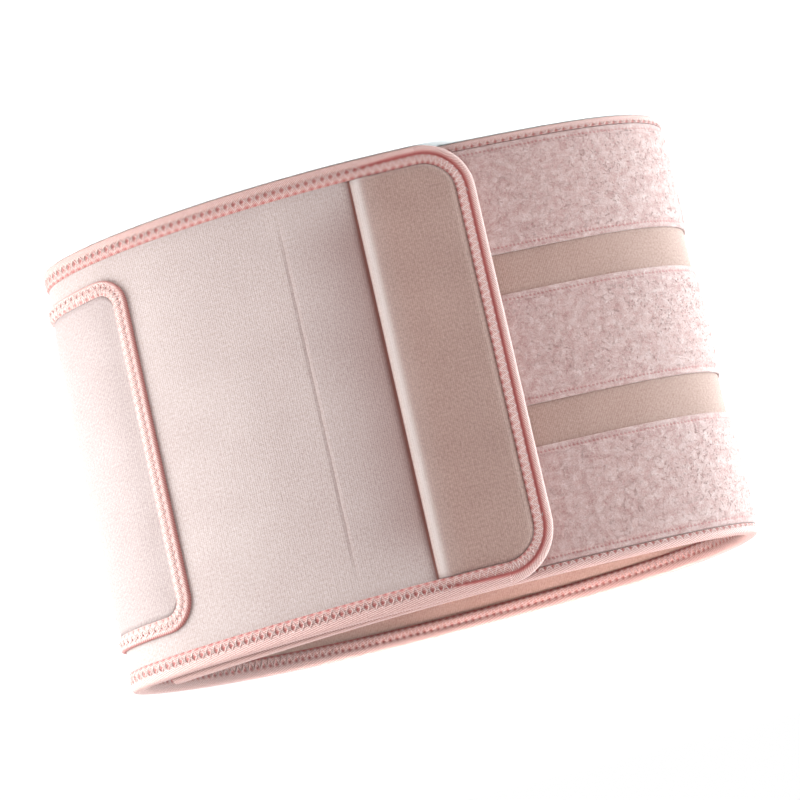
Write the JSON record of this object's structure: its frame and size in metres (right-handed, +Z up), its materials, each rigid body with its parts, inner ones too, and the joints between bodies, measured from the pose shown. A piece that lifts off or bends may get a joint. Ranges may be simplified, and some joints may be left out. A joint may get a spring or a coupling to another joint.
{
  "type": "lumbar support belt",
  "caption": "Wide padded waist belt wound round once and closed at the front over bands of loop pile, with bound and stitched edges and a sewn-on back panel.",
  "frame": {"origin": "middle of the belt's box, on the surface that its lower edge stands on", "axes": "+Z up the belt's height, the closed front faces -Y, and X runs across the waist"},
  "size_m": [0.3018, 0.16, 0.202],
  "materials": {
    "knit_cloth": "fine ribbed knit over foam, matt, pale pink-beige",
    "end_panel_cloth": "fine ribbed knit, matt, dusky pink-beige",
    "binding_tape": "soft knitted tape with covering stitch, rose",
    "loop_pile": "brushed loop pile, fuzzy, pink",
    "hook_tape": "moulded hook tape, slightly glossy, pink",
    "panel_cloth": "smooth padded knit, matt, very pale pink"
  },
  "bodies": {
    "root": {"belt_body": "knit_cloth", "lower_binding": "binding_tape", "upper_binding": "binding_tape", "flap_end_binding": "binding_tape", "end_panel": "end_panel_cloth", "hook_patch": "hook_tape", "loop_band_lower": "loop_pile", "loop_band_middle": "loop_pile", "loop_band_upper": "loop_pile", "back_panel": "panel_cloth", "back_panel_binding_start": "binding_tape", "back_panel_binding_end": "binding_tape"}
  },
  "joints": []
}
